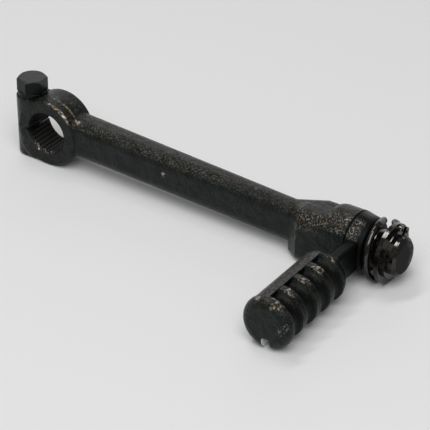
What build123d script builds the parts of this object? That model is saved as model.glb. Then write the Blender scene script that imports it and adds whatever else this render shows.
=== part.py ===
from build123d import *
from math import asin, cos, degrees, pi, radians, sin, tan
import os

# Kick start lever of a small motorbike: a forged arm that clamps on the splined
# kick shaft, and a ribbed foot pedal that folds on a spigot at the arm's far end.
# Origin: middle of the spline bore. X runs along the arm to the spigot, Y along
# the bore (the pedal points to -Y), Z up. Millimetres.

os.makedirs("parts", exist_ok=True)

# Splined clamp boss
spline_tip_r = 7.5
spline_depth = 0.55
spline_teeth = 30
tooth_land = 0.55
space_taper = 0.6
bore_chamfer = 0.9
hub_r = 13.2
hub_width = 12.5
hub_draft = 1.2
parting_y = -2.0
hub_rim_round = 0.8
slit_width = 1.3
slit_z = -1.0

# Pinch bolt, its lugs and its lock washer
bolt_r = 3.0
bolt_clearance = 0.1
thread_clearance = 0.04
bolt_off_teeth = 0.1
lug_wall = 3.0
lug_draft = 0.6
lug_below_rim = 2.0
lug_off_floor = 0.2
lug_corner_round = 0.7
lug_edge_round = 0.6
bolt_reach = 20.0
hex_flats = 10.0
hex_height = 5.3
hex_top_r = 4.75
hex_bevel_angle = 30.0
hex_turn = 41.0
lock_washer_r = 5.5
lock_washer_thick = 1.5
lock_washer_split = 1.0
lock_washer_split_at = 205.0
spot_face_margin = 0.3

# Shank, from the boss to the knuckle
shank_height = 15.4
shank_thick_hub = 11.9
shank_thick_head = 9.6
shank_round = 4.4
shank_hub_y = 0.05
shank_hub_z = 0.7
shank_head_y = -2.5
shank_below_axis = 0.3

# Knuckle and spigot
axis_y = -1.3
seam_x = 131.0
knuckle_r = 11.0
knuckle_length = 11.5
knuckle_round = 4.5
knuckle_corner = 5.0
seam_bevel = 0.3
cheek_length = 24.3
facet_length = 4.8
cheek_ahead = 9.2
cheek_behind = 3.0
cheek_above = 9.0
cheek_below = 10.4
cheek_corner = 4.6
cheek_foot_round = 3.0
cheek_inset = 0.1
cheek_step = 2.4
step_foot_round = 1.5
flare_start = 27.5
flare_length = 12.5
flare_inset = 0.8
flare_behind = 7.9
flare_above = 8.75
flare_below = 10.2
spigot_r = 7.0
spigot_tail = 3.4
spigot_end_round = 1.2

# Pedal that folds on the spigot
running_clearance = 0.05
seam_gap = 0.1
eye_length = 6.7
eye_taper = 1.2
eye_round = 1.4
neck_above = 5.7
neck_below = 5.95
neck_round = 1.6
neck_inset = 0.2
neck_width = 5.1
grip_r = 9.1
grip_start = 22.4
grip_end = 60.3
shoulder_r = 8.3
shoulder_length = 2.2
shoulder_round = 0.8
knob_r = 9.6
knob_length = 5.0
knob_round = 3.4
groove_count = 4
groove_first = 28.3
groove_pitch = 8.4
groove_tool_r = 3.2
groove_depth = 1.9
strip_from = 95.0
strip_to = 143.0
strip_rise = 0.1
notch_width = 3.2
notch_height = 4.8
notch_depth = 6.0
notch_x = 0.7

# Spring, seat washer and circlip on the spigot
wire_r = 1.2
spring_r = 10.15
spring_gap = 0.15
spring_pitch = 3.15
spring_from = 72.0
spring_to = 420.0
seat_margin = 0.55
seat_thick = 1.6
seat_clearance = 0.15
circlip_thick = 1.2
circlip_rise = 1.7
circlip_side_gap = 0.05
circlip_seat_depth = 0.7
ear_r = 1.7
ear_hole_r = 0.65
ear_wall = 0.1
circlip_gap = 2.4
circlip_gap_at = 55.0

# Sizes that follow from the ones above
bore_r = spline_tip_r + spline_depth
bolt_hole_r = bolt_r + bolt_clearance
bolt_x = -(spline_tip_r + bolt_off_teeth + bolt_r)
lug_r = bolt_hole_r + lug_wall
lug_top = hub_r - lug_below_rim
lug_bottom = -hub_r + lug_off_floor
space_half = pi * spline_tip_r / spline_teeth * (1 - tooth_land)
floor_z = -hub_r
grip_x = seam_x
grip_z = floor_z + knob_r
axis_z = floor_z + spring_r + wire_r
shank_start_x = (bore_r + hub_r) / 2
shank_end_x = seam_x - cheek_length + facet_length
shank_head_z = axis_z - shank_below_axis
groove_floor_r = spigot_r - circlip_seat_depth
circlip_r = spigot_r + circlip_rise
seat_r = spring_r + seat_margin
ear_turn = degrees(asin((circlip_gap / 2 + ear_wall + ear_hole_r) / circlip_r))
eye_x = seam_x + seam_gap
eye_end_x = eye_x + eye_length
spring_start_x = eye_end_x + spring_gap + wire_r
spring_rise = spring_pitch * (spring_to - spring_from) / 360
seat_x = spring_start_x + spring_rise + wire_r
circlip_x = seat_x + seat_thick + circlip_side_gap
spigot_end_x = circlip_x + circlip_thick + circlip_side_gap + spigot_tail

spigot_axis = Axis((0, axis_y, axis_z), (1, 0, 0))
grip_axis = Axis((grip_x, 0, grip_z), (0, -1, 0))


def across(x, y=0.0, z=0.0):
    """Plane square to the arm at x: local x runs along Y, local y along Z."""
    return Plane(origin=(x, y, z), x_dir=(0, 1, 0), z_dir=(1, 0, 0))


def shank_at(x):
    """Middle (y, z) and thickness of the tapered shank at x."""
    share = (x - shank_start_x) / (shank_end_x - shank_start_x)
    y = shank_hub_y + (shank_head_y - shank_hub_y) * share
    z = shank_hub_z + (shank_head_z - shank_hub_z) * share
    return y, z, shank_thick_hub + (shank_thick_head - shank_thick_hub) * share


def along_spigot():
    """Plane through the spigot axis: local x runs along X, local y outwards."""
    return Plane(origin=(0, axis_y, axis_z), x_dir=(1, 0, 0), z_dir=(0, -1, 0))


def along_grip(turn):
    """Plane through the grip axis: local x runs out along the grip, local y outwards at an angle."""
    out = (cos(radians(turn)), 0, sin(radians(turn)))
    return Plane(origin=(grip_x, 0, grip_z), x_dir=(0, -1, 0), z_dir=(-out[2], 0, out[0]))


def box_between(low, high):
    """Middle and size of the rectangle between two corners."""
    middle = ((low[0] + high[0]) / 2, (low[1] + high[1]) / 2)
    return middle, (high[0] - low[0], high[1] - low[1])


# Lugs of the clamp: a half-round tower that the pinch bolt runs down, drafted towards its foot
with BuildPart() as lugs:
    with BuildSketch(Plane(origin=(0, 0, lug_top), x_dir=(1, 0, 0), z_dir=(0, 0, -1))):
        with Locations((bolt_x, 0)):
            Circle(lug_r)
            Rectangle(-bolt_x, 2 * lug_r, align=(Align.MIN, Align.CENTER))
    extrude(amount=lug_top - lug_bottom, taper=lug_draft)
    fillet(lugs.edges().filter_by(GeomType.CIRCLE).sort_by(Axis.Z)[0], lug_corner_round)
    fillet(lugs.edges().filter_by(GeomType.CIRCLE).sort_by(Axis.Z)[-1], lug_edge_round)

# Cheek of the knuckle: the flat-fronted block that steps out from the shank by a sloping facet
with BuildPart() as cheek:
    step_x = seam_x - cheek_length
    step_y, step_z, step_thick = shank_at(step_x)
    step_low = (step_y - step_thick / 2 + cheek_inset, step_z - shank_height / 2 - cheek_step)
    step_high = (axis_y + cheek_behind, step_z + shank_height / 2 - cheek_inset)
    step_middle, step_size = box_between(step_low, step_high)
    cheek_low = (axis_y - cheek_ahead, axis_z - cheek_below)
    cheek_high = (axis_y + cheek_behind, axis_z + cheek_above)
    cheek_middle, cheek_size = box_between(cheek_low, cheek_high)
    with BuildSketch(across(step_x)) as step_section:
        with Locations(step_middle):
            Rectangle(*step_size)
        fillet(step_section.vertices().group_by(Axis.Y)[-1], shank_round - cheek_inset)
        fillet(step_section.vertices().group_by(Axis.Y)[0], step_foot_round)
    with BuildSketch(across(step_x + facet_length)) as cheek_section:
        with Locations(cheek_middle):
            Rectangle(*cheek_size)
        fillet(cheek_section.vertices().group_by(Axis.Y)[-1], cheek_corner)
        fillet(cheek_section.vertices().group_by(Axis.Y)[0], cheek_foot_round)
    loft()
    extrude(cheek_section.sketch, amount=cheek_length - facet_length - knuckle_length / 2)

# Flare on the back and top of the shank, where it swells into the knuckle
with BuildPart() as flare:
    flare_x = seam_x - flare_start
    flare_y, flare_z, flare_thick = shank_at(flare_x)
    flare_low = (shank_head_y - shank_thick_head / 2 + flare_inset, axis_z - flare_below)
    flare_high = (axis_y + flare_behind, axis_z + flare_above)
    flare_middle, flare_size = box_between(flare_low, flare_high)
    with BuildSketch(across(flare_x, flare_y, flare_z)):
        RectangleRounded(flare_thick - flare_inset, shank_height - flare_inset, shank_round)
    with BuildSketch(across(flare_x + flare_length)) as flare_section:
        with Locations(flare_middle):
            RectangleRounded(*flare_size, cheek_corner)
    loft()
    extrude(flare_section.sketch, amount=flare_start - flare_length - knuckle_length / 2)

# Round of the knuckle at the seam, flattened in front to lie flush with the cheek
with BuildPart() as knuckle:
    with BuildSketch(across(seam_x - knuckle_length, axis_y, axis_z)) as knuckle_end:
        Circle(knuckle_r)
        with Locations((-cheek_ahead, 0)):
            Rectangle(knuckle_r, 2 * knuckle_r, align=(Align.MAX, Align.CENTER), mode=Mode.SUBTRACT)
        fillet(knuckle_end.vertices().group_by(Axis.X)[0], knuckle_corner)
    extrude(amount=knuckle_length)
    fillet(knuckle.faces().sort_by(Axis.X)[0].edges(), knuckle_round)
    chamfer(knuckle.faces().sort_by(Axis.X)[-1].edges(), seam_bevel)

# Arm: boss, lugs, shank, knuckle and spigot in one forging
with BuildPart() as arm:
    front_r = hub_r - (hub_width / 2 + parting_y) * tan(radians(hub_draft))
    back_r = hub_r - (hub_width / 2 - parting_y) * tan(radians(hub_draft))
    with BuildSketch(Plane.XY) as hub_half:
        with BuildLine():
            Polyline(
                (0, -hub_width / 2),
                (front_r, -hub_width / 2),
                (hub_r, parting_y),
                (back_r, hub_width / 2),
                (0, hub_width / 2),
                close=True,
            )
        make_face()
        fillet(hub_half.vertices().group_by(Axis.Y)[0].sort_by(Axis.X)[-1], hub_rim_round)
        fillet(hub_half.vertices().group_by(Axis.Y)[-1].sort_by(Axis.X)[-1], hub_rim_round)
    revolve(axis=Axis.Y)
    add(lugs.part)

    with BuildSketch(across(shank_start_x, shank_hub_y, shank_hub_z)):
        RectangleRounded(shank_thick_hub, shank_height, shank_round)
    with BuildSketch(across(shank_end_x, shank_head_y, shank_head_z)):
        RectangleRounded(shank_thick_head, shank_height, shank_round)
    loft()
    add(flare.part)
    add(cheek.part)
    add(knuckle.part)

    circlip_slot = (circlip_x - circlip_side_gap, circlip_x + circlip_thick + circlip_side_gap)
    with BuildSketch(along_spigot()):
        with BuildLine():
            Polyline(
                (seam_x - knuckle_length / 2, 0),
                (seam_x - knuckle_length / 2, spigot_r),
                (circlip_slot[0], spigot_r),
                (circlip_slot[0], groove_floor_r),
                (circlip_slot[1], groove_floor_r),
                (circlip_slot[1], spigot_r),
                (spigot_end_x - spigot_end_round, spigot_r),
                (spigot_end_x, spigot_r - spigot_end_round),
                (spigot_end_x, 0),
                close=True,
            )
        make_face()
    revolve(axis=spigot_axis)

    with BuildSketch(Plane.XZ):
        Circle(spline_tip_r)
        with PolarLocations(0, spline_teeth):
            Polygon(
                (spline_tip_r - spline_depth, -space_half),
                (bore_r, -space_half * space_taper),
                (bore_r, space_half * space_taper),
                (spline_tip_r - spline_depth, space_half),
                align=None,
            )
    extrude(amount=hub_width, both=True, mode=Mode.SUBTRACT)

    with BuildSketch(Plane.XY):
        for side in (-1, 1):
            Polygon(
                (0, side * hub_width / 2),
                (spline_tip_r + bore_chamfer, side * hub_width / 2),
                (spline_tip_r, side * (hub_width / 2 - bore_chamfer)),
                (0, side * (hub_width / 2 - bore_chamfer)),
                align=None,
            )
    revolve(axis=Axis.Y, mode=Mode.SUBTRACT)

    with Locations((0, 0, slit_z)):
        Box(
            2 * hub_r, 2 * hub_width, slit_width,
            align=(Align.MAX, Align.CENTER, Align.CENTER), mode=Mode.SUBTRACT,
        )
    with Locations((bolt_x, 0, lug_top)):
        Cylinder(
            lock_washer_r + spot_face_margin, hub_r,
            align=(Align.CENTER, Align.CENTER, Align.MIN), mode=Mode.SUBTRACT,
        )
        Hole(bolt_hole_r, lug_top - slit_z)
    with Locations((bolt_x, 0, slit_z)):
        Hole(bolt_r + thread_clearance, slit_z - lug_bottom)
arm.part.label = "arm"
export_step(arm.part, "parts/arm.step")

# Turned blank of the bolt head: its cone rounds the hexagon's top corners off
head_z = lug_top + lock_washer_thick
with BuildPart() as head_blank:
    bevel_drop = (hex_flats - hex_top_r) * tan(radians(hex_bevel_angle))
    with BuildSketch(Plane(origin=(bolt_x, 0, head_z), x_dir=(1, 0, 0), z_dir=(0, -1, 0))):
        Polygon(
            (0, 0),
            (hex_flats, 0),
            (hex_flats, hex_height - bevel_drop),
            (hex_top_r, hex_height),
            (0, hex_height),
            align=None,
        )
    revolve(axis=Axis((bolt_x, 0, 0), (0, 0, 1)))

# Pinch bolt: hexagon head with a turned top, shank down into the lower lug
with BuildPart() as pinch_bolt:
    with BuildSketch(Plane.XY.offset(head_z)):
        with Locations((bolt_x, 0)):
            RegularPolygon(hex_flats / 2, 6, major_radius=False, rotation=hex_turn)
    extrude(amount=hex_height)
    add(head_blank.part, mode=Mode.INTERSECT)
    with BuildSketch(Plane.XY.offset(head_z)):
        with Locations((bolt_x, 0)):
            Circle(bolt_r)
    extrude(amount=-bolt_reach)
pinch_bolt.part.label = "pinch_bolt"
export_step(pinch_bolt.part, "parts/pinch_bolt.step")

# Split lock washer under the bolt head
with BuildPart() as lock_washer:
    with BuildSketch(Plane.XY.offset(lug_top)):
        with Locations((bolt_x, 0)):
            Circle(lock_washer_r)
            Circle(bolt_hole_r, mode=Mode.SUBTRACT)
            with PolarLocations(0, 1, start_angle=lock_washer_split_at):
                Rectangle(
                    2 * lock_washer_r, lock_washer_split,
                    align=(Align.MIN, Align.CENTER), mode=Mode.SUBTRACT,
                )
    extrude(amount=lock_washer_thick)
lock_washer.part.label = "lock_washer"
export_step(lock_washer.part, "parts/lock_washer.step")

# Pedal: eye on the spigot, neck, and the ribbed grip that the foot pushes
with BuildPart() as pedal:
    with BuildSketch(along_spigot()) as eye_half:
        with BuildLine():
            Polyline(
                (eye_x, 0),
                (eye_x, knuckle_r),
                (eye_end_x, knuckle_r - eye_taper),
                (eye_end_x, 0),
                close=True,
            )
        make_face()
        fillet(eye_half.vertices().group_by(Axis.X)[-1].sort_by(Axis.Y)[-1], eye_round)
    revolve(axis=spigot_axis)

    with BuildSketch(along_grip((strip_from + strip_to) / 2)) as grip_half:
        with BuildLine():
            Polyline(
                (grip_start, 0),
                (grip_start, shoulder_r),
                (grip_start + shoulder_length, grip_r),
                (grip_end - knob_length - (knob_r - grip_r), grip_r),
                (grip_end - knob_length, knob_r),
                (grip_end, knob_r),
                (grip_end, 0),
                close=True,
            )
        make_face()
        fillet(grip_half.vertices().group_by(Axis.X)[-1].sort_by(Axis.Y)[-1], knob_round)
        fillet(grip_half.vertices().group_by(Axis.X)[0].sort_by(Axis.Y)[-1], shoulder_round)
        for groove in range(groove_count):
            with Locations((groove_first + groove * groove_pitch, grip_r - groove_depth + groove_tool_r)):
                Circle(groove_tool_r, mode=Mode.SUBTRACT)
    revolve(axis=grip_axis)

    strip_low = (groove_first - groove_pitch / 2, grip_r - 2 * groove_depth)
    strip_high = (groove_first + groove_pitch * (groove_count - 0.5), grip_r + strip_rise)
    strip_middle, strip_size = box_between(strip_low, strip_high)
    with BuildSketch(along_grip(strip_from)):
        with Locations(strip_middle):
            Rectangle(*strip_size)
    revolve(axis=grip_axis, revolution_arc=strip_to - strip_from)

    neck_low = (eye_x + neck_inset, axis_z - neck_below)
    neck_high = (eye_x + neck_inset + neck_width, axis_z + neck_above)
    neck_middle, neck_size = box_between(neck_low, neck_high)
    with BuildSketch(Plane.XZ.offset(-axis_y)):
        with Locations(neck_middle):
            RectangleRounded(*neck_size, neck_round)
    extrude(amount=grip_start + shoulder_length + axis_y)

    with BuildSketch(along_spigot()):
        with Locations(((eye_x + eye_end_x) / 2, 0)):
            Rectangle(2 * eye_length, spigot_r + running_clearance, align=(Align.CENTER, Align.MIN))
    revolve(axis=spigot_axis, mode=Mode.SUBTRACT)

    with Locations((grip_x + notch_x, -grip_end, floor_z)):
        Box(
            notch_width, 2 * notch_depth, 2 * notch_height,
            mode=Mode.SUBTRACT,
        )
pedal.part.label = "pedal"
export_step(pedal.part, "parts/pedal.step")

# Spring that presses the pedal's eye against the knuckle: nearly one turn of wire
wire_start = (0, cos(radians(spring_from)), sin(radians(spring_from)))
coil_plane = Plane(origin=(spring_start_x, axis_y, axis_z), x_dir=wire_start, z_dir=(1, 0, 0))
coil = coil_plane * Helix(spring_pitch, spring_rise, spring_r)
with BuildPart() as pedal_spring:
    with BuildSketch(Plane(origin=coil @ 0, z_dir=coil % 0)):
        Circle(wire_r)
    sweep(path=coil, is_frenet=True)
pedal_spring.part.label = "pedal_spring"
export_step(pedal_spring.part, "parts/pedal_spring.step")

# Washer that the spring bears on
with BuildPart() as spring_seat:
    with BuildSketch(across(seat_x, axis_y, axis_z)):
        Circle(seat_r)
        Circle(spigot_r + seat_clearance, mode=Mode.SUBTRACT)
    extrude(amount=seat_thick)
spring_seat.part.label = "spring_seat"
export_step(spring_seat.part, "parts/spring_seat.step")

# Circlip in the spigot's groove: open ring with two drilled ears
with BuildPart() as circlip:
    with BuildSketch(across(circlip_x, axis_y, axis_z)):
        Circle(circlip_r)
        for turn in (circlip_gap_at - ear_turn, circlip_gap_at + ear_turn):
            with PolarLocations(circlip_r, 1, start_angle=turn):
                Circle(ear_r)
                Circle(ear_hole_r, mode=Mode.SUBTRACT)
        Circle(groove_floor_r + circlip_side_gap, mode=Mode.SUBTRACT)
        with PolarLocations(0, 1, start_angle=circlip_gap_at):
            Rectangle(2 * circlip_r, circlip_gap, align=(Align.MIN, Align.CENTER), mode=Mode.SUBTRACT)
    extrude(amount=circlip_thick)
circlip.part.label = "circlip"
export_step(circlip.part, "parts/circlip.step")
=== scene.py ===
# %% [markdown]
# # A kick start lever
#
# The lever was modelled in CAD as seven steel pieces: a forged arm that clamps on the
# kick shaft, its pinch bolt and lock washer, a ribbed foot pedal that folds, and the
# spring, washer and circlip that hold the pedal on its spigot. Every shape comes from that
# model. This lesson loads it, gives each piece the finish it has after some years of use,
# and then sets up the floor, the lamps and the camera.

# %% Load the CAD model and keep its box
from collections import namedtuple
from math import cos, radians, sin

import bpy
from mathutils import Matrix, Vector


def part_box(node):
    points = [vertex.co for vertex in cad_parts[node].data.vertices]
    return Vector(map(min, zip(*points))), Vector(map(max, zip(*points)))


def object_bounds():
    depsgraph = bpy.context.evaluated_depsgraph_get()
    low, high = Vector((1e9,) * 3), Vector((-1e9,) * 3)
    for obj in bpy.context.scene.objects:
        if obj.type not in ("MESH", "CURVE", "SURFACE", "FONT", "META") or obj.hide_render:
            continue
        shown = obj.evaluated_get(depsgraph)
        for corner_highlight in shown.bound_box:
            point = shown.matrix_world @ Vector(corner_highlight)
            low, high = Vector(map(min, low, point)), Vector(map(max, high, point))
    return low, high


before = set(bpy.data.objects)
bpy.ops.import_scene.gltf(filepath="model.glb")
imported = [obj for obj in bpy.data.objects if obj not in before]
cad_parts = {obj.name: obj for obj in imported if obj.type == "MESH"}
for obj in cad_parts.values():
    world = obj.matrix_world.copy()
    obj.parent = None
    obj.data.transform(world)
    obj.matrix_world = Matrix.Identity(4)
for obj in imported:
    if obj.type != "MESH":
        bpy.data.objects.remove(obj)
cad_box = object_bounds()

mm_per_metre = 1000.0
scene = bpy.context.scene
scene.view_settings.view_transform = "Standard"
print("nodes:", sorted(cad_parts))
print("size in mm:", [round((high - low) * mm_per_metre, 2) for low, high in zip(*cad_box)])

# %% [markdown]
# ## Shader maths as plain arithmetic
#
# A finish is a formula over the surface: how far a point is from the rim, how rough the
# steel is there, how much paint has gone. Drawn as nodes such a formula is hard to
# read. Wrapping a socket in a small class lets Python's own operators add the Math
# nodes, so that the formula can be written down as one.

# %% A socket that can be added, multiplied and raised to a power
class Wire:
    """One output socket of a node tree."""

    def __init__(self, socket):
        self.socket = socket

    def node(self, kind, settings=None, sockets=None, out=0):
        """Add a node of this kind, set it up, feed its sockets, and return one output."""
        tree = self.socket.id_data
        made = tree.nodes.new(kind)
        for key, value in (settings or {}).items():
            setattr(made, key, value)
        for key, value in (sockets or {}).items():
            if isinstance(value, Wire):
                tree.links.new(value.socket, made.inputs[key])
            else:
                made.inputs[key].default_value = value
        return Wire(made.outputs[out])

    def math(self, operation, *values):
        return self.node("ShaderNodeMath", {"operation": operation}, dict(enumerate(values)))

    def __add__(self, other):
        return self.math("ADD", self, other)

    def __sub__(self, other):
        return self.math("SUBTRACT", self, other)

    def __rsub__(self, other):
        return self.math("SUBTRACT", other, self)

    def __mul__(self, other):
        return self.math("MULTIPLY", self, other)

    def __pow__(self, other):
        return self.math("POWER", self, other)

    __radd__ = __add__
    __rmul__ = __mul__


# %% [markdown]
# ## Masks
#
# A mask says how much of a layer lies on a point, from 0 to 1. It could be painted by
# hand, but one worked out from places in the frame stays sharp at any distance. Most
# masks here are soft steps. Each step is a named pair of values: the mask is 0 at the
# first and 1 at the second, and the first may be the larger.

# %% Soft steps, joined masks, distances and blended colours
def between(value, zero_at, one_at):
    """A soft step from 0, where the value is at zero_at, to 1, where it is at one_at."""
    settings = {"interpolation_type": "SMOOTHSTEP"}
    sockets = {"Value": value, "From Min": zero_at, "From Max": one_at}
    return value.node("ShaderNodeMapRange", settings, sockets)


def either(mask, *others):
    """The strongest of some masks at each point, so that marks join without adding up."""
    for other in others:
        mask = mask.math("MAXIMUM", mask, other)
    return mask


def distance(*offsets):
    """Distance from a plane, an axis or a point, out of offsets square to each other."""
    return sum(offset * offset for offset in offsets) ** 0.5


def blend(share, first, second):
    """A colour between two others."""
    # A Mix node takes its two colours at inputs 6 and 7 and gives a colour at output 2.
    sockets = {0: share, 6: first, 7: second}
    return share.node("ShaderNodeMix", {"data_type": "RGBA"}, sockets, out=2)


# %% [markdown]
# ## Reading a place in millimetres
#
# Every node's object sits at the origin, so its Object coordinates are the shared
# frame's own, in metres. A finish is easier to think of in millimetres, so the material
# scales them once and hands out x, y and z. Noise in the same units can be set by the
# real size of a grain. The normal says which way a face looks: dust, boots and drips all
# care about that.

# %% A new material and the place of each of its points
noise_middle, fray_reach, spot_core = 0.5, 4.0, 0.6


def axes(vector):
    """The three parts of a vector, from one node."""
    first = vector.node("ShaderNodeSeparateXYZ", None, {0: vector})
    return [Wire(part) for part in first.socket.node.outputs]


class Finish:
    """A material under way: its shader, and the place of a point in millimetres."""

    def __init__(self, name):
        self.material = bpy.data.materials.new(name)
        self.material.use_nodes = True
        self.tree = self.material.node_tree
        self.shader = self.tree.nodes["Principled BSDF"]
        texture_place = self.tree.nodes.new("ShaderNodeTexCoord")
        metres = Wire(texture_place.outputs["Object"])
        scaled = {0: metres, "Scale": mm_per_metre}
        self.place = metres.node("ShaderNodeVectorMath", {"operation": "SCALE"}, scaled)
        self.x, self.y, self.z = axes(self.place)
        _, backward, self.upward = axes(Wire(texture_place.outputs["Normal"]))
        self.frontward = backward * -1.0

    def noise(self, per_mm, detail=2.0, rough=0.6, start=(0.0, 0.0, 0.0)):
        """Soft random values near 0.5, with so many waves to the millimetre.

        The start moves the pattern, so that two noises of one size differ.
        """
        shifted = {0: self.place, 1: start}
        moved = self.place.node("ShaderNodeVectorMath", {"operation": "ADD"}, shifted)
        sockets = {"Vector": moved, "Scale": per_mm, "Detail": detail, "Roughness": rough}
        return self.place.node("ShaderNodeTexNoise", None, sockets)

    def spot(self, place, radius, fray):
        """1 near a place and 0 away from it, with an edge frayed by a noise."""
        away = distance(*(axis - at for axis, at in zip((self.x, self.y, self.z), place)))
        frayed = away + (fray - noise_middle) * radius * fray_reach
        return between(frayed, radius, radius * spot_core)


# %% [markdown]
# ## Layers of skin
#
# A used surface is made of layers: paint over steel, bright metal where the paint has
# gone, grime over both. One long formula for each socket of the shader would do, but
# nobody could change it later. Here each layer is described once, by its colour, how
# metallic and how rough it is and how high it stands, and is laid over another by a mask.

# %% A layer, one layer over another, and a layer on a node
Skin = namedtuple("Skin", "tint metal rough height")


def colour(red, green, blue):
    return (red, green, blue, 1.0)


def cover(share, under, over):
    """The under skin, with the over skin laid on it where share is 1."""
    rest = (low + (high - low) * share for low, high in zip(under[1:], over[1:]))
    return Skin(blend(share, under.tint, over.tint), *rest)


def dress(finish, skin, gloss, relief_mm, *nodes):
    """Feed a skin to the material's shader and put the material on the nodes."""
    bump = {"Height": skin.height, "Distance": relief_mm / mm_per_metre}
    relief = finish.place.node("ShaderNodeBump", None, bump)
    sockets = {
        "Base Color": skin.tint,
        "Metallic": skin.metal,
        "Roughness": skin.rough,
        "Normal": relief,
        "Specular IOR Level": gloss,
    }
    for name, value in sockets.items():
        if isinstance(value, Wire):
            finish.tree.links.new(value.socket, finish.shader.inputs[name])
        else:
            finish.shader.inputs[name].default_value = value
    for node in nodes:
        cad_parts[node].data.materials.clear()
        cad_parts[node].data.materials.append(finish.material)
    count = len(finish.tree.nodes)
    print(finish.material.name, "on", ", ".join(nodes), "with", count, "shader nodes")


# %% [markdown]
# ## Black paint on rough steel
#
# The arm was forged, the pedal forged or cast, and both are painted black. The paint is
# glossy but follows the pitted skin below it, so a lamp breaks up on it into fine glints.
# Flecks in the colour alone would look like stone, so most of the sparkle comes from the
# relief. Where the surface looks up, boots and stones have thinned the paint, and a few
# specks of brown primer show. On the tops these specks also stand in for light, as painted
# light. On edges that look up and to the front, grains of bare metal shine through. They
# are worn metal, and because they sit where the lamp's reflection falls they are painted
# glints as well. Grease fills the grit and hides all of this. Packed dirt is blacker still,
# and the same black is painted shade in grooves, on flanks, in the bore and underneath. It
# is set as a dark metal, because even a black paint mirrors the pale floor.

# %% Colours of the paint, of what shows through it and of what lies on it
paint_dark = colour(0.0008, 0.0030, 0.0022)
paint_light = colour(0.0050, 0.0098, 0.0076)
# The brown of the primer. On the tops its specks are also painted light.
primer_and_lit_brown = colour(0.17, 0.115, 0.065)
# Worn metal, also used for painted highlights and painted glints.
worn_and_lit_metal = colour(0.62, 0.55, 0.52)
worn_and_lit_gold = colour(0.46, 0.34, 0.22)
grease = Skin(tint=colour(0.0055, 0.0068, 0.0060), metal=0.45, rough=0.35, height=1.0)
# Black packed dirt. The same black is painted shade in grooves, the bore, flanks and undersides.
black_dirt_and_shade = Skin(tint=colour(0.0020, 0.0023, 0.0020), metal=0.8, rough=0.55, height=1.0)
paint_gloss = 0.18
paint_relief_mm = 0.40
metal_share = 0.85
metal_sunk = 0.4
print("paint relief:", paint_relief_mm, "mm")

# %% The painted skin
deep_hollow = (0.35, 0.65)
pale_hollow = (0.40, 0.55)
looks_up = (0.15, 0.80)
edge_front, edge_up = (0.08, 0.32), (0.25, 0.60)
speck_core, grain_core = (0.54, 0.66), (0.53, 0.64)
speck_everywhere, speck_on_top, glint_on_top = 0.03, 0.14, 0.08
paint_rough, grit_rough, metal_rougher = 0.12, 0.14, 0.10
grit_under_grease, grit_when_dry = 0.35, 0.65


def painted(finish, worn_and_lit, scuff_glint, greased):
    """Black paint: worn metal and painted highlights by the first mask, glints on front edges by
    the second, grease by the third.
    """
    grit = finish.noise(per_mm=1.4, detail=3.0)
    hollows = finish.noise(per_mm=0.30, rough=0.5, start=(31.0, 7.0, 3.0))
    speckle = finish.noise(per_mm=1.3, start=(3.0, 17.0, 11.0))
    grain = finish.noise(per_mm=1.9, start=(13.0, 5.0, 2.0))
    dry = 1.0 - greased
    # Faces that look up: thin paint, and the specks and glints there are also painted light.
    top_wear_and_light = between(finish.upward, *looks_up) * dry
    edge = between(finish.frontward, *edge_front) * between(finish.upward, *edge_up) * dry
    rough = paint_rough + grit * grit_rough
    relief = grit * (grit_under_grease + dry * grit_when_dry) + hollows

    black = blend(between(hollows, *deep_hollow), paint_dark, paint_light)
    bare = blend(between(hollows, *pale_hollow), worn_and_lit_gold, worn_and_lit_metal)
    paint = Skin(black, 0.0, rough, relief)
    primer = Skin(primer_and_lit_brown, 0.0, rough, relief)
    metal = Skin(bare, metal_share, rough + metal_rougher, relief - metal_sunk)

    specks = between(speckle, *speck_core) * (speck_everywhere + top_wear_and_light * speck_on_top)
    # Glints: grains of bare metal, and painted glints where the lamp's reflection falls.
    glints = between(grain, *grain_core) * either(top_wear_and_light * glint_on_top, edge * scuff_glint)
    skin = cover(either(worn_and_lit, glints), cover(specks, paint, primer), metal)
    return cover(greased, skin, grease)


# %% [markdown]
# ## Oiled steel
#
# The spigot, the spring, its washer and the circlip were never painted. They are dark
# steel under a film of oil, so they mirror the lamps in small sharp patches and are nearly
# black elsewhere. A clean mirror would look like chrome, so grime sticks to the oil in
# places. Underneath, a black layer is painted shade, which hides the mirror image of the
# pale floor.

# %% The oiled skin, the grime on it and painted shade underneath
steel_dark = colour(0.020, 0.019, 0.017)
steel_light = colour(0.100, 0.095, 0.088)
steel_share = 0.95
# Grime. The same layer is also painted shade inside the spline.
grime_and_shade = Skin(tint=colour(0.006, 0.0065, 0.006), metal=0.0, rough=0.75, height=0.0)
grimy_patch, grimy_share = (0.52, 0.66), 0.3
underside, under_shade_share = (0.0, -0.4), 0.65
steel_rough, smear_rough, tool_mark_height = 0.06, 0.10, 0.04


def oiled(finish):
    """Dark steel under a smeared film of oil, with grime in patches and painted shade
    underneath.
    """
    smear = finish.noise(per_mm=0.38, detail=3.0, start=(1.0, 6.0, 2.0))
    patches = finish.noise(per_mm=0.9, detail=3.0, rough=0.65, start=(2.0, 9.0, 4.0))
    tool_marks = finish.noise(per_mm=1.5) * tool_mark_height
    tint = blend(smear, steel_dark, steel_light)
    steel = Skin(tint, steel_share, steel_rough + smear * smear_rough, tool_marks)
    grimy = cover(between(patches, *grimy_patch) * grimy_share, steel, grime_and_shade)
    # Painted shade: the faces that look down go black.
    return cover(between(finish.upward, *underside) * under_shade_share, grimy, black_dirt_and_shade)


# %% [markdown]
# ## Spring, washer and circlip
#
# The three loose pieces on the spigot share one oiled material. The two ends of the
# spring's wire are a pale, dull grey: painted light, for the light that falls on them. A
# second material on the wire would show a hard border; two frayed spots in the shared one
# do not.

# %% Oiled pieces, with painted light on the wire's ends
oiled_steel = Finish("oiled_steel")
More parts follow.
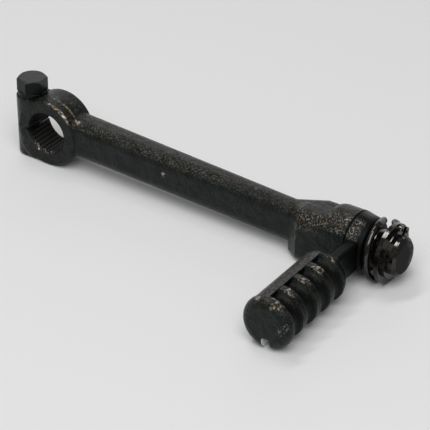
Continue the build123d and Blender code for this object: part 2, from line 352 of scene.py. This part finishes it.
# A pale grey as painted light on the two ends of the wire.
wire_end_light = Skin(tint=colour(0.21, 0.235, 0.20), metal=0.2, rough=0.45, height=0.0)
wire_ends = {"first": ((139.9, -0.5, 8.8), 2.3), "last": ((142.2, 4.3, 8.0), 1.3)}
wire_end_light_share = 0.75
oil_gloss, oil_relief_mm = 0.5, 0.3

oily_skin = oiled(oiled_steel)
wire_end_fray = oiled_steel.noise(per_mm=0.7, detail=3.0)
for name, (place, radius) in wire_ends.items():
    lightened = oiled_steel.spot(place, radius, wire_end_fray) * wire_end_light_share
    oily_skin = cover(lightened, oily_skin, wire_end_light)
    print("wiped the", name, "end of the wire within", radius, "mm of", place)
dress(oiled_steel, oily_skin, oil_gloss, oil_relief_mm, "pedal_spring", "spring_seat", "circlip")

# %% [markdown]
# ## Worn and lit places of the arm
#
# On the arm the paint is rubbed to bright metal on the upper front rim of the clamp boss
# and along the forging's parting line over the boss. These pale marks are also painted
# highlight, for the light these edges catch. Such marks could be painted on by hand. Here
# each mark is a place in the shared frame, so its mask is made from the distance to a
# plane, an axis or a point, and a noise frays it.

# %% The rim of the boss and the parting line over it: wear and painted highlight
arm_paint = Finish("arm_black_paint")
along, sideways, height = arm_paint.x, arm_paint.y, arm_paint.z
fray = arm_paint.noise(per_mm=0.8, detail=4.0, rough=0.7, start=(5.0, 2.0, 8.0))
from_bore = distance(along, height)

inside_boss, top_of_boss, past_bore = (13.7, 13.4), (6.0, 9.8), (-0.5, 2.5)
rim_band, front_face = (12.2, 12.6), (-5.3, -5.7)
parting_y, parting_line, parting_share = -2.0, (0.55, 0.2), 0.6
crown = (12.9, 13.1)
worn_and_lit_fray = (0.44, 0.56)

on_boss = between(height, *top_of_boss) * between(along, *past_bore)
on_boss = on_boss * between(from_bore, *inside_boss)
rim = on_boss * between(from_bore, *rim_band) * between(sideways, *front_face)
from_parting = distance(sideways - parting_y)
parting = on_boss * between(from_bore, *crown) * between(from_parting, *parting_line)
# Worn metal on the rim and the parting line, also a painted highlight on these edges.
worn_and_lit = either(rim, parting * parting_share) * between(fray, *worn_and_lit_fray)
print("boss: rim worn from radius", rim_band[0], "mm, parting line at y", parting_y, "mm")

# %% [markdown]
# ## Chips
#
# The paint is chipped in three places: in the crease where the shank leaves the boss, on
# the front of the shank and at the mouth of the bore. Each chip could have formulas of its
# own, but all are small frayed spots, so a list of places, sizes and strengths will do.

# %% Chips on the arm
chips = {
    "in the crease": ((12.9, -4.0, 8.8), 1.6, 0.6),
    "on the shank": ((53.1, -6.6, 0.9), 0.9, 0.55),
    "at the mouth of the bore": ((-3.7, -5.8, -7.5), 0.7, 1.0),
}
for name, (place, radius, share) in chips.items():
    worn_and_lit = either(worn_and_lit, arm_paint.spot(place, radius, fray) * share)
    print("chip", name, "within", radius, "mm of", place)

# %% [markdown]
# ## The knuckle
#
# The knuckle's front corner gets a pale line, a painted highlight for the light its
# rounded edge catches, and grains of metal on its front are painted glints. The corner is
# an upright line, so its mask is the distance from that line. The glints in the paint keep
# to faces that look up, so the front has a fine noise of its own.

# %% The knuckle's painted corner highlight and the painted glints on its front
# A painted highlight: a pale line down the knuckle's rounded front corner.
corner_x, corner_y = 111.3, -10.5
corner_line, corner_top, corner_foot = (0.9, 0.3), (3.6, 2.0), (-6.0, -4.0)
corner_fray, corner_highlight_share = (0.40, 0.60), 0.16
from_corner = distance(along - corner_x, sideways - corner_y)
corner_highlight = between(height, *corner_top) * between(height, *corner_foot)
corner_highlight = corner_highlight * between(from_corner, *corner_line) * between(fray, *corner_fray)

# Painted glints: grains of metal on the knuckle's front.
knuckle_front, front_start, front_stop = (-9.6, -10.2), (110.5, 112.5), (123.0, 118.5)
front_low, front_grain, front_glint_share = (-0.5, 2.5), (0.52, 0.64), 0.22
grains = between(arm_paint.noise(per_mm=1.9, start=(7.0, 3.0, 12.0)), *front_grain)
front_glints = between(sideways, *knuckle_front) * between(height, *front_low)
front_glints = front_glints * between(along, *front_start) * between(along, *front_stop) * grains

worn_and_lit = either(worn_and_lit, corner_highlight * corner_highlight_share, front_glints * front_glint_share)
print("knuckle: corner at x", corner_x, "mm, grains from x", front_start[0], "to", front_stop[0])

# %% [markdown]
# ## The highlight arc on the lug
#
# A thin pale arc runs over the front of the lug, round the bore: a painted highlight, for
# the light that the edge of the boss's front face catches. A curve could be drawn there, but
# it would be one more object. The distance from the bore is known already, and a narrow band
# of it is the arc.

# %% The painted highlight arc on the lug
# A painted highlight: a thin pale arc for the lit edge of the boss's front face.
arc_r, arc_line, arc_highlight_share = 14.6, (0.5, 0.15), 0.10
arc_front, arc_left, arc_low = (-4.4, -5.0), (-2.0, -5.0), (-4.0, -6.5)
arc_highlight = between(distance(from_bore - arc_r), *arc_line) * between(sideways, *arc_front)
arc_highlight = arc_highlight * between(along, *arc_left) * between(height, *arc_low)
worn_and_lit = either(worn_and_lit, arc_highlight * arc_highlight_share)
print("arc on the lug: radius", arc_r, "mm round the bore")

# %% [markdown]
# ## Spline, spigot and seam
#
# Not all of the arm is painted. The spline was cut and the spigot turned after the
# forging, so they are oiled steel. The spline is darkened by grime and by painted shade,
# most of all at its upper left, and the lowest tooth ends are rubbed bright. The spigot's
# end face is grimy, with a painted green-grey reflection on its rim, and black dirt marks
# the seam to the pedal. All this could be separate materials on separate faces, but masks
# in one material need no change to the mesh.

# %% Masks for the spline
tooth_roots = (8.25, 8.1)
teeth = between(from_bore, *tooth_roots)
# How far the spline is darkened: grime and painted shade in the bore.
spline_grime_and_shade = 0.75

# Painted shade on the upper left wall of the bore.
bore_upper, bore_left, bore_shade_share = (-5.0, -1.5), (0.0, -2.0), 0.7
bore_shade = teeth * between(height, *bore_upper) * between(along, *bore_left)

tooth_tips, tooth_front = (8.5, 8.2), (-5.0, -5.6)
tooth_low, tooth_right, tooth_fray = (-4.5, -6.5), (4.5, 0.5), (0.50, 0.62)
tooth_share = 0.5
tooth_ends = between(from_bore, *tooth_tips) * between(sideways, *tooth_front)
tooth_ends = tooth_ends * between(height, *tooth_low) * between(along, *tooth_right)
tooth_ends = tooth_ends * between(fray, *tooth_fray)
rubbed_tooth = Skin(tint=worn_and_lit_metal, metal=metal_share, rough=0.30, height=0.0)
print("spline: oiled inside radius", tooth_roots[1], "mm")

# %% Masks for the spigot, its end and the seam
seam_x = 131.0
spigot_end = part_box("arm")[1][0] * mm_per_metre
seat_low, seat_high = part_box("spring_seat")
axis_y, axis_z = ((seat_low[axis] + seat_high[axis]) / 2 * mm_per_metre for axis in (1, 2))
from_spigot = distance(sideways - axis_y, height - axis_z)

spigot = between(along, seam_x, seam_x + 0.05)
end_face = between(along, spigot_end - 0.2, spigot_end - 0.1)
# A painted reflection: a green-grey band on the rim of the spigot's end.
rim_ring, rim_back, rim_fray = (2.6, 4.8), (-1.5, 3.0), (0.36, 0.60)
end_rim_reflection = between(along, spigot_end - 1.4, spigot_end - 1.1) * between(from_spigot, *rim_ring)
end_rim_reflection = end_rim_reflection * between(sideways, *rim_back) * between(fray, *rim_fray)
painted_green_reflection = Skin(tint=colour(0.052, 0.068, 0.055), metal=0.0, rough=0.5, height=0.0)

seam_share = 0.9
arm_seam = between(along, seam_x - 0.75, seam_x - 0.35) * (1.0 - spigot)
print("spigot: from x", seam_x, "to", round(spigot_end, 2), "mm")

# %% The arm's layers, from the paint up
# How strongly grains glint on the arm's upper front edges: worn metal and painted glints,
# densest on the knuckle.
scuff_glint_all, scuff_glint_shank, scuff_glint_knuckle = 0.03, 0.12, 0.38
shank_edge, knuckle_edge = (92.0, 66.0), (104.0, 110.0)
arm_scuff_glint = scuff_glint_all + between(along, *shank_edge) * scuff_glint_shank
arm_scuff_glint = arm_scuff_glint + between(along, *knuckle_edge) * scuff_glint_knuckle

arm_skin = painted(arm_paint, worn_and_lit, arm_scuff_glint, spigot)
arm_skin = cover(either(spigot, teeth), arm_skin, oiled(arm_paint))
# Grime on the end face, grime and painted shade in the spline, dirt in the seam, painted shade
# in the bore.
arm_skin = cover(either(end_face, teeth * spline_grime_and_shade), arm_skin, grime_and_shade)
arm_skin = cover(either(arm_seam * seam_share, bore_shade * bore_shade_share), arm_skin, black_dirt_and_shade)
arm_skin = cover(tooth_ends * tooth_share, arm_skin, rubbed_tooth)
# The painted reflection on the rim of the spigot's end.
arm_skin = cover(end_rim_reflection, arm_skin, painted_green_reflection)
dress(arm_paint, arm_skin, paint_gloss, paint_relief_mm, "arm")

# %% [markdown]
# ## The pedal's ribs
#
# Boots have rubbed the crests of the pedal's ribs beside the smooth strip. A mask for each
# rib would work, but the ribs repeat, so one value that swings to and fro along the grip
# finds them all.

# %% Rubbed ribs
pedal_paint = Finish("pedal_black_paint")
pedal_x, pedal_y, pedal_z = pedal_paint.x, pedal_paint.y, pedal_paint.z
grip_x, grip_z = seam_x, -3.6
first_rib, rib_pitch = -24.1, 8.4
rubbed = pedal_paint.noise(per_mm=0.8, detail=4.0, rough=0.7, start=(9.0, 4.0, 1.0))
from_rib = pedal_y.math("PINGPONG", pedal_y - first_rib, rib_pitch / 2)
from_grip = distance(pedal_x - grip_x, pedal_z - grip_z)

crest_top, crest_width, grip_begins = (8.6, 9.0), (2.4, 0.8), (-20.0, -22.0)
boot_from, boot_to, boot_above = (131.5, 133.0), (137.0, 135.0), (1.0, 3.0)
crest_fray, crest_share = (0.48, 0.62), 0.75
crests = between(from_grip, *crest_top) * between(from_rib, *crest_width)
crests = crests * between(pedal_y, *grip_begins) * between(pedal_z, *boot_above)
crests = crests * between(pedal_x, *boot_from) * between(pedal_x, *boot_to)
worn_pedal = crests * between(rubbed, *crest_fray) * crest_share
print("ribs: first at y", first_rib, "mm, then every", rib_pitch, "mm")

# %% [markdown]
# ## The pedal's end
#
# Three spots are worn on the upper edge of the pedal's end, and a few fine dots of metal
# show on its right. The spots are made as the chips were. A single spot is too smooth for
# the dots, so there it only bounds a fine noise.

# %% Worn spots and fine dots on the pedal's end
end_spots = (((126.8, -58.4, 5.0), 1.4), ((131.1, -58.5, 4.6), 0.9), ((133.4, -58.7, 3.6), 1.1))
end_share = 0.55
for place, radius in end_spots:
    worn_pedal = either(worn_pedal, pedal_paint.spot(place, radius, rubbed) * end_share)

dot_places, dot_reach = ((136.9, -59.2, -4.0), (138.2, -58.8, -2.0)), 1.7
dot_core, dot_share = (0.50, 0.60), 0.30
dots = between(pedal_paint.noise(per_mm=1.6, start=(4.0, 8.0, 15.0)), *dot_core) * dot_share
for place in dot_places:
    worn_pedal = either(worn_pedal, pedal_paint.spot(place, dot_reach, rubbed) * dots)
print("end of the pedal:", len(end_spots), "worn spots and", len(dot_places), "patches of dots")

# %% [markdown]
# ## Grease round the joint
#
# Grease from the joint has made the eye and the neck smooth and dark. It could be a shell
# of its own round them, but it is too thin to have a shape, so it is one more mask for
# the paint.

# %% Grease on the eye and the neck
eye_begins, neck_begins, neck_ends = (-14.0, -11.0), (-23.0, -21.0), (-9.0, -11.0)
on_eye = between(pedal_y, *eye_begins)
on_neck = between(pedal_y, *neck_begins) * between(pedal_y, *neck_ends)
past_seam, joint_side, away_from_front = (134.6, 136.2), (-22.0, -20.0), (0.32, 0.05)
eye_share, neck_share = 0.8, 0.6
oozed = between(pedal_x, *past_seam) * between(pedal_y, *joint_side)
eye_back = on_eye * between(pedal_paint.frontward, *away_from_front)
greased = either(oozed, eye_back * eye_share, on_neck * neck_share)
print("grease: full past x", past_seam[1], "mm, thinner on the rest of the eye and the neck")

# %% [markdown]
# ## Packed dirt and painted shade
#
# Dirt is packed in the seam. The grooves between the ribs hold dirt and painted shade, and
# the right flank of the ribs and the eye's end, which face away from the lamps, are darkened
# as painted shade. The top of the neck is darker too. A noise alone would scatter the dark
# anywhere, so each place has a mask of its own, and the strongest counts.

# %% Painted shade and dirt in the grooves, painted shade on the flank and the eye's end, dirt in the seam, a darker top of the neck
# Dirt and painted shade in the grooves between the ribs.
groove_deep, last_groove, first_groove = (8.8, 8.2), (-57.2, -56.4), (-24.0, -25.4)
grooves = between(pedal_y, *last_groove) * between(pedal_y, *first_groove)
grooves = grooves * between(from_grip, *groove_deep)

# Painted shade on the right flank of the ribs.
flank_side, flank_begins, flank_ends = (134.5, 137.0), (-20.0, -24.0), (-56.0, -54.0)
middle_of_rib = (1.15, 0.75)
flank_shade = between(pedal_y, *flank_begins) * between(pedal_y, *flank_ends)
flank_shade = flank_shade * between(pedal_x, *flank_side) * between(from_rib, *middle_of_rib)

# Painted shade on the eye's end. The top of the neck is also darkened.
end_side, top_side = (134.5, 136.0), (0.2, 0.7)
groove_share, flank_shade_share, eye_end_shade_share, neck_top_share = 0.65, 0.5, 0.6, 0.5
pedal_seam = on_eye * between(pedal_x, seam_x + 0.6, seam_x + 0.25)
eye_end_shade = on_eye * between(pedal_x, *end_side)
neck_top = on_neck * between(pedal_paint.upward, *top_side)
dirt_and_shade = either(grooves * groove_share, flank_shade * flank_shade_share, pedal_seam * seam_share)
dirt_and_shade = either(dirt_and_shade, eye_end_shade * eye_end_shade_share, neck_top * neck_top_share)
print("dirt: in the grooves below radius", groove_deep[0], "mm")

# %% [markdown]
# ## The notch
#
# The notch low in the pedal's end is painted near white inside: painted light, for the lit
# floor seen through it. Its walls could have a second material, but the CAD mesh would need
# new slots for that, so a box of soft steps round the notch picks them out.

# %% Painted light on the walls of the notch
notch_x, notch_half, notch_top = 131.7, 1.6, -8.4
left_wall, right_wall = notch_x - notch_half, notch_x + notch_half
notch = between(pedal_x, left_wall - 0.06, left_wall - 0.01)
notch = notch * between(pedal_x, right_wall - 0.1, right_wall - 0.4)
notch = notch * between(pedal_z, notch_top - 0.4, notch_top - 0.9)
# Near white, as painted light inside the notch.
notch_light = Skin(tint=colour(0.80, 0.80, 0.80), metal=0.0, rough=0.6, height=1.0)
print("notch: from x", round(left_wall, 2), "to", round(right_wall, 2), "mm")

# %% [markdown]
# ## The smooth strip, and all layers together
#
# A smooth strip runs along the grip beside the ribs. It is painted grey, for scuffs from
# boots and as painted light on this face that looks up. It stands a little higher than the
# ribs, so its distance from the grip's axis tells it from them. The layers then go on in
# order: paint, scuffs, dirt and painted shade, and last the painted light in the notch.

# %% The pedal's layers, from the paint up
strip_top, strip_left, strip_up = (9.10, 9.16), (132.0, 130.5), (0.0, 2.0)
strip_fray, strip_share = (0.35, 0.65), 0.7
strip = between(from_grip, *strip_top) * between(pedal_x, *strip_left)
strip = strip * between(pedal_z, *strip_up) * between(rubbed, *strip_fray)
# A grey for scuffs and for painted light on the strip.
scuffed_and_lit_grey = Skin(tint=colour(0.075, 0.074, 0.070), metal=0.2, rough=0.42, height=0.8)
# Glints on the eye: worn grains and painted glints.
eye_scuff_glint = 0.45

pedal_skin = painted(pedal_paint, worn_pedal, on_eye * eye_scuff_glint, greased)
pedal_skin = cover(strip * strip_share, pedal_skin, scuffed_and_lit_grey)
# Black for dirt in the seam, and painted shade in the grooves, on the flank and on the eye's
# end.
pedal_skin = cover(dirt_and_shade, pedal_skin, black_dirt_and_shade)
# Painted light inside the notch.
pedal_skin = cover(notch, pedal_skin, notch_light)
dress(pedal_paint, pedal_skin, paint_gloss, paint_relief_mm, "pedal")

# %% [markdown]
# ## Blackened bolt and washer
#
# The pinch bolt and its lock washer are steel blackened in oil: smoother than the forging,
# with a low sheen, and a little greyer on top, as painted light on the faces that look up.
# It could be a dark metal, but that would mirror too much, so the oxide is a black layer
# with little gloss.

# %% Blackened steel
blackened = Finish("blackened_steel")
black_oxide = colour(0.0035, 0.0050, 0.0045)
lit_top_oxide = colour(0.060, 0.062, 0.060)
bolt_top = (0.5, 0.9)
oxide_gloss, oxide_relief_mm = 0.15, 0.06
oxide_rough, film_rough, grain_height = 0.26, 0.18, 0.6

film = blackened.noise(per_mm=0.6, detail=3.0)
fine_grain = blackened.noise(per_mm=2.4) * grain_height
# Painted light: the faces that look up are greyer.
lit_top = film * between(blackened.upward, *bolt_top)
oxide_tint = blend(lit_top, black_oxide, lit_top_oxide)
oxide_sheen = oxide_rough + film * film_rough
bolt_skin = Skin(tint=oxide_tint, metal=0.0, rough=oxide_sheen, height=fine_grain)
dress(blackened, bolt_skin, oxide_gloss, oxide_relief_mm, "pinch_bolt", "lock_washer")

# %% [markdown]
# ## The floor
#
# The lever lies on a plain pale floor, on the boss, the spring and the end of the pedal.
# A plane at the lowest point of the CAD box is enough. It is no part of the lever.

# %% A plain floor under the lever
floor_z = cad_box[0][2]
floor_size = 6.0
floor_grey, floor_rough = colour(0.74, 0.74, 0.74), 0.9
bpy.ops.object.select_all(action="DESELECT")
bpy.ops.mesh.primitive_plane_add(size=floor_size, location=(0.0, 0.0, floor_z))
floor = bpy.context.object
floor.name = "floor"
floor_look = bpy.data.materials.new("pale_floor")
floor_look.use_nodes = True
floor_shader = floor_look.node_tree.nodes["Principled BSDF"]
floor_shader.inputs["Base Color"].default_value = floor_grey
floor_shader.inputs["Roughness"].default_value = floor_rough
floor.data.materials.append(floor_look)
print("floor at", round(floor_z * mm_per_metre, 2), "mm")

# %% [markdown]
# ## The lamps
#
# A narrow lamp high on the left makes the glints on the grit and on the oiled steel. A
# broad lamp in front gives most of the light: it stands on the camera's side, so that its
# shadows fall behind the lever. A low lamp at the back gives the top of the arm a sheen.
# One bright lamp would be simpler, but black paint shows its form mostly through what it
# mirrors, so each side gets a lamp of its own. The world adds a little light all round.

# %% Lamps that look at the middle of the lever
middle = Vector((0.070, -0.015, 0.0))


def lamp(name, place, long, wide, watts):
    """A flat lamp at a place, so long and so wide in metres, turned to the middle."""
    bpy.ops.object.light_add(type="AREA", location=place)
    made = bpy.context.object
    made.name = name
    made.data.shape = "RECTANGLE"
    made.data.size = long
    made.data.size_y = wide
    made.data.energy = watts
    made.rotation_euler = (middle - Vector(place)).to_track_quat("-Z", "Y").to_euler()
    print(name, "at", place, "with", watts, "W")


lamp("strip_key_lamp", place=(-0.33, 0.10, 1.10), long=0.58, wide=0.13, watts=2.9)
lamp("broad_front_lamp", place=(0.50, -0.80, 1.40), long=1.3, wide=1.3, watts=22.7)
lamp("low_back_lamp", place=(-0.70, 1.30, 0.45), long=1.2, wide=1.2, watts=3.8)

# %% A little light all round
world_strength = 0.19
world = bpy.data.worlds.new("studio")
scene.world = world
world.use_nodes = True
sky = world.node_tree.nodes["Background"]
sky.inputs["Color"].default_value = colour(1.0, 1.0, 1.0)
sky.inputs["Strength"].default_value = world_strength
print("world light:", world_strength)

# %% [markdown]
# ## The camera
#
# The camera stands above the pedal's side with a long lens, at the place from which the
# known sizes of the lever fall on their places in the photo. Its turn is built from three
# angles, because a camera that only tracks a point can't be rolled by half a degree.

# %% The camera at the photo's place
camera_place = Vector((0.4270, -0.5310, 0.3850))
yaw, rise, roll = radians(33.817), radians(31.930), radians(0.481)
sensor_mm, lens_mm = 36.0, 175.57
sight_end = 10.0
backward = Vector((sin(yaw) * cos(rise), -cos(yaw) * cos(rise), sin(rise)))
level = Vector((cos(yaw), sin(yaw), 0.0))
upright = backward.cross(level)
right = level * cos(roll) + upright * sin(roll)
upward = upright * cos(roll) - level * sin(roll)

bpy.ops.object.camera_add()
camera = bpy.context.object
camera.name = "photo_camera"
turned = Matrix((right, upward, backward)).transposed().to_4x4()
camera.matrix_world = Matrix.Translation(camera_place) @ turned
camera.data.sensor_width = sensor_mm
camera.data.lens = lens_mm
camera.data.clip_end = sight_end
scene.camera = camera
print("camera at", tuple(round(v, 3) for v in camera_place))
